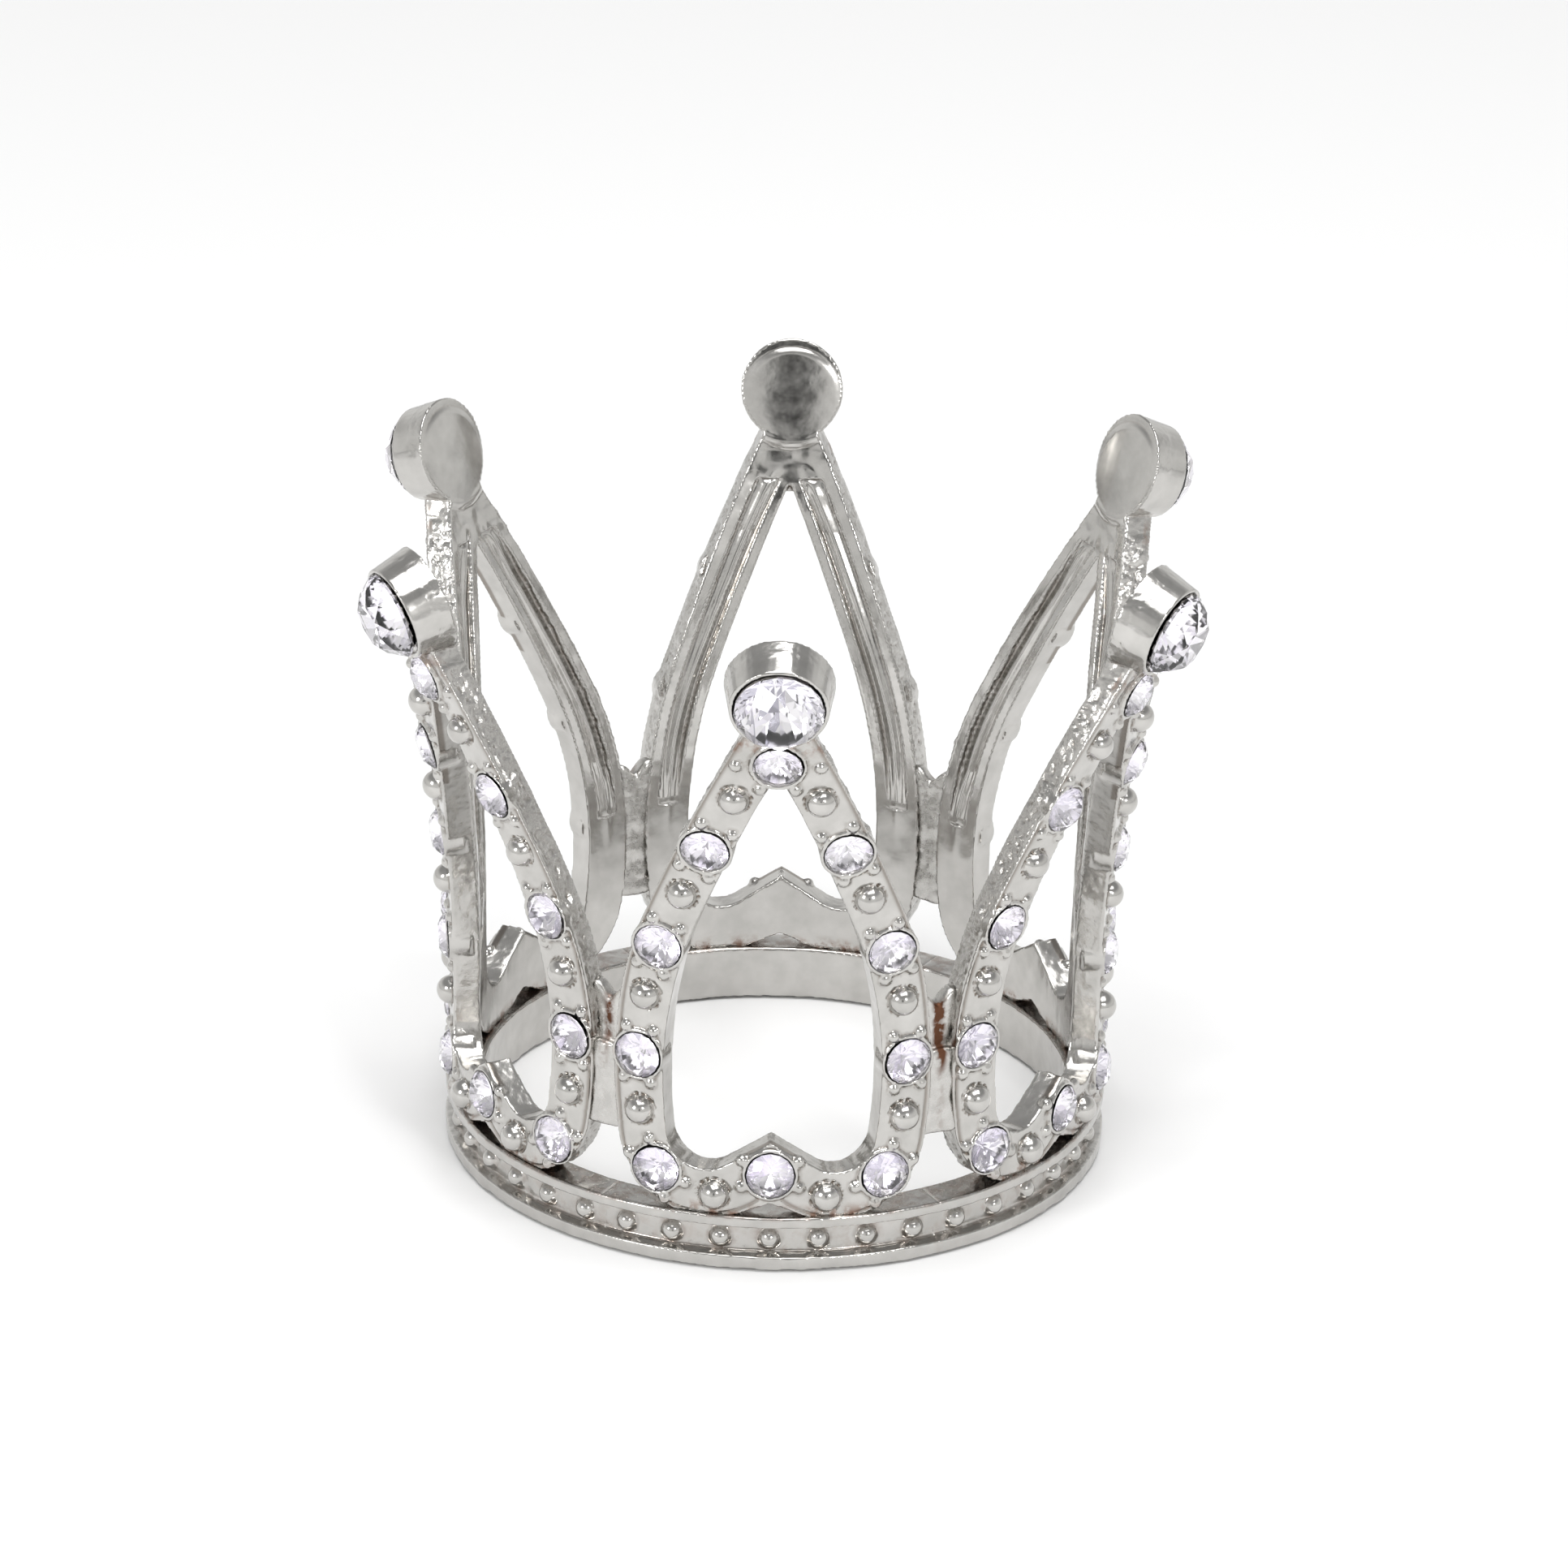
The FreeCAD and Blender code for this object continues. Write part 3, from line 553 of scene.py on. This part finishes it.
def brilliant(radius, crown, girdle, pavilion):
    """A round brilliant: points, faces, and how many of the faces, first, belong to its crown."""
    points = []

    def ring(size, height, count, start):
        first = len(points)
        for i in range(count):
            angle = math.radians(start + i * 360 / count)
            points.append((size * math.cos(angle), size * math.sin(angle), height))
        return list(range(first, first + count))

    half = math.cos(math.radians(22.5))
    star_height = girdle + crown * (1 - STAR * half) / (1 - TABLE)
    main_height = -pavilion * (1 - PAVILION_MAIN * half)
    table = ring(TABLE * radius, girdle + crown, 8, 0)
    star = ring(STAR * radius, star_height, 8, 22.5)
    high = ring(radius, girdle, 16, 0)
    low = ring(radius, 0.0, 16, 0)
    inner = ring(PAVILION_MAIN * radius, main_height, 8, 22.5)
    points.append((0.0, 0.0, -pavilion))
    culet = len(points) - 1
    front, back = [table], []
    for i in range(8):
        j, k = (i + 1) % 8, (i - 1) % 8
        near, middle, far = 2 * i, 2 * i + 1, (2 * i + 2) % 16
        front += [[table[i], star[i], table[j]], [table[i], star[k], high[near], star[i]]]
        front += [[star[i], high[near], high[middle]], [star[i], high[middle], high[far]]]
        front += [[high[near], low[near], low[middle], high[middle]]]
        front += [[high[middle], low[middle], low[far], high[far]]]
        back += [[culet, inner[i], low[near], inner[k]]]
        back += [[inner[i], low[middle], low[near]], [inner[i], low[far], low[middle]]]
    return points, front + back, len(front)


def stone_seats(node, crown, girdle):
    """Where a CAD node's stones sit in the front petal: the centre of each girdle and its outward axis."""
    loose = bmesh.new()
    loose.from_mesh(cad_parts[node].data)
    bmesh.ops.scale(loose, vec=(1 / MM,) * 3, verts=loose.verts)
    bmesh.ops.remove_doubles(loose, verts=loose.verts, dist=0.002)
    waiting = set(loose.verts)
    seats = []
    while waiting:
        stack = [waiting.pop()]
        island = []
        while stack:
            vertex = stack.pop()
            island.append(vertex.co.copy())
            for edge in vertex.link_edges:
                other = edge.other_vert(vertex)
                if other in waiting:
                    waiting.remove(other)
                    stack.append(other)
        centre = sum(island, Vector()) / len(island)
        axis = outward(centre)
        reach = max((p - centre).dot(axis) for p in island)
        seats.append((centre + axis * (reach - crown - girdle), axis))
    loose.free()
    seats.sort(key=lambda seat: (round(seat[0].z, 2), seat[0].x))
    return seats


def make_stones(kind, node, sizes, wobble, glass, mirror):
    """All the stones of one kind, a piece for each petal, each stone tilted and turned a little."""
    shape, faces, front = brilliant(**sizes)
    seats = stone_seats(f"{node}_1", sizes["crown"], sizes["girdle"])
    for index in range(PETALS):
        chance = random.Random(700 + index + len(seats) * 31)
        points, polygons, painted_fire = [], [], []
        for centre, axis in seats:
            frame_of_stone = axis.to_track_quat("Z", "Y").to_matrix().to_4x4()
            tilt = Matrix.Rotation(math.radians(chance.uniform(-wobble, wobble)), 4, "X")
            tilt = tilt @ Matrix.Rotation(math.radians(chance.uniform(-wobble, wobble)), 4, "Y")
            spin = Matrix.Rotation(chance.uniform(0, math.pi), 4, "Z")
            place = Matrix.Translation(centre) @ frame_of_stone @ tilt @ spin
            first = len(points)
            points += [tuple(place @ Vector(p)) for p in shape]
            polygons += [[first + k for k in face] for face in faces]
            # A random share per facet, picking its painted fire and reflection tint on the foil.
            painted_fire += [chance.random() for _ in faces]
        mesh = bpy.data.meshes.new(f"{kind}_{index + 1}")
        mesh.from_pydata((turned(points, index) * MM).tolist(), [], polygons)
        mesh.materials.append(glass)
        mesh.materials.append(mirror)
        for number, polygon in enumerate(mesh.polygons):
            polygon.material_index = 0 if number % len(faces) < front else 1
        layer = mesh.attributes.new("facet", "FLOAT", "FACE")
        layer.data.foreach_set("value", painted_fire)
        mesh.update()
        add_piece(f"{kind}_{index + 1}", mesh, [f"{node}_{index + 1}"])


# ---- studio ---------------------------------------------------------------------------------------


def add_light(name, azimuth, elevation, size, power):
    """A square soft box aimed at the crown's middle; azimuth 0 is in front, and grows towards +X."""
    data = bpy.data.lights.new(name, "AREA")
    data.shape = "RECTANGLE"
    data.size, data.size_y, data.energy = size, size, power
    lamp = bpy.data.objects.new(name, data)
    bpy.context.scene.collection.objects.link(lamp)
    a, e = math.radians(azimuth), math.radians(elevation)
    away = Vector((math.sin(a) * math.cos(e), -math.cos(a) * math.cos(e), math.sin(e)))
    lamp.location = LIGHT_AIM + away * LIGHT_DISTANCE
    lamp.rotation_euler = away.to_track_quat("Z", "Y").to_euler()


def add_floor():
    """A large plain white table top, a hair below the crown's foot."""
    mesh = bpy.data.meshes.new("floor")
    half = 3.0
    corners = [(-half, -half, 0), (half, -half, 0), (half, half, 0), (-half, half, 0)]
    mesh.from_pydata(corners, [], [(0, 1, 2, 3)])
    s = Shader("table_top")
    tone = s.ramp(s.lumps(400.0, 2.0), (0.3, (0.90, 0.90, 0.90)), (0.7, (0.93, 0.93, 0.93)))
    s.set(s.surface, Base_Color=tone, Roughness=0.7)
    mesh.materials.append(s.material)
    floor = bpy.data.objects.new("floor", mesh)
    bpy.context.scene.collection.objects.link(floor)
    floor.location.z = -0.0002


def add_world():
    """A bright room seen level, dim overhead, with the dark camera stand low in front."""
    world = bpy.data.worlds.new("studio")
    bpy.context.scene.world = world
    world.use_nodes = True
    tree = world.node_tree
    way = tree.nodes.new("ShaderNodeTexCoord").outputs["Generated"]

    def node(kind, **settings):
        made = tree.nodes.new("ShaderNode" + kind)
        for name, value in settings.items():
            setattr(made, name, value)
        return made

    apart = node("SeparateXYZ")
    tree.links.new(way, apart.inputs[0])
    room = node("ValToRGB")
    tree.links.new(apart.outputs["Z"], room.inputs["Fac"])
    room.color_ramp.elements[0].position = 0.30
    room.color_ramp.elements[0].color = (*ROOM_LEVEL, 1)
    room.color_ramp.elements[1].position = 0.62
    room.color_ramp.elements[1].color = (*ROOM_ABOVE, 1)
    stand = node("VectorMath", operation="DOT_PRODUCT")
    stand.inputs[1].default_value = (0, -math.cos(STAND_ELEVATION), math.sin(STAND_ELEVATION))
    tree.links.new(way, stand.inputs[0])
    dark = node("MapRange", interpolation_type="SMOOTHSTEP")
    tree.links.new(stand.outputs["Value"], dark.inputs["Value"])
    dark.inputs["From Min"].default_value = math.cos(STAND_EDGE[1])
    dark.inputs["From Max"].default_value = math.cos(STAND_EDGE[0])
    blend = node("Mix", data_type="RGBA")
    tree.links.new(dark.outputs["Result"], blend.inputs[0])
    tree.links.new(room.outputs["Color"], blend.inputs[6])
    blend.inputs[7].default_value = (*STAND_COLOUR, 1)
    tree.links.new(blend.outputs[2], tree.nodes["Background"].inputs["Color"])


def add_studio():
    """White table, a room and soft boxes."""
    add_world()
    add_floor()
    add_light("key_right", 28, 26, 0.06, 0.6)
    add_light("fill_left", -47, 24, 0.13, 0.8)
    add_light("top_box", 20, 80, 0.50, 2.9)
    add_light("glint", 170, 62, 0.03, 0.04)


def add_camera():
    """A long lens looking a little down, rolled by about a degree."""
    azimuth, elevation, roll = math.radians(0.4), math.radians(23.5), math.radians(1.21)
    distance, target = 0.489, Vector((0.0002, 0, 0.0247))
    back = Vector((math.sin(azimuth) * math.cos(elevation), -math.cos(azimuth) * math.cos(elevation), 0))
    back.z = math.sin(elevation)
    right = Vector((math.cos(azimuth), math.sin(azimuth), 0))
    up = back.cross(right)
    right, up = right * math.cos(roll) + up * math.sin(roll), up * math.cos(roll) - right * math.sin(roll)
    data = bpy.data.cameras.new("camera")
    data.lens, data.sensor_width = 169.8, 36.0
    data.clip_start, data.clip_end = 0.01, 20.0
    camera = bpy.data.objects.new("camera", data)
    bpy.context.scene.collection.objects.link(camera)
    turn = Matrix((right, up, back)).transposed().to_4x4()
    camera.matrix_world = Matrix.Translation(target + back * distance) @ turn
    bpy.context.scene.camera = camera


def main():
    """Dresses the crown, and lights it."""
    metal = plated_metal()
    make_petals(metal)
    make_ring(metal)
    make_solder(solder_metal())
    glass = crystal()
    small_foil = foil("small_foil", (0.64, 0.62, 0.69), 0.19)
    large_foil = foil("large_foil", (0.38, 0.38, 0.44), 0.09)
    make_stones("small_stones", "small_stones", SMALL_STONE, 4.0, glass, small_foil)
    make_stones("tip_stone", "large_stone", LARGE_STONE, 2.5, glass, large_foil)
    add_studio()
    add_camera()
    bpy.context.scene.view_settings.view_transform = "Standard"


main()
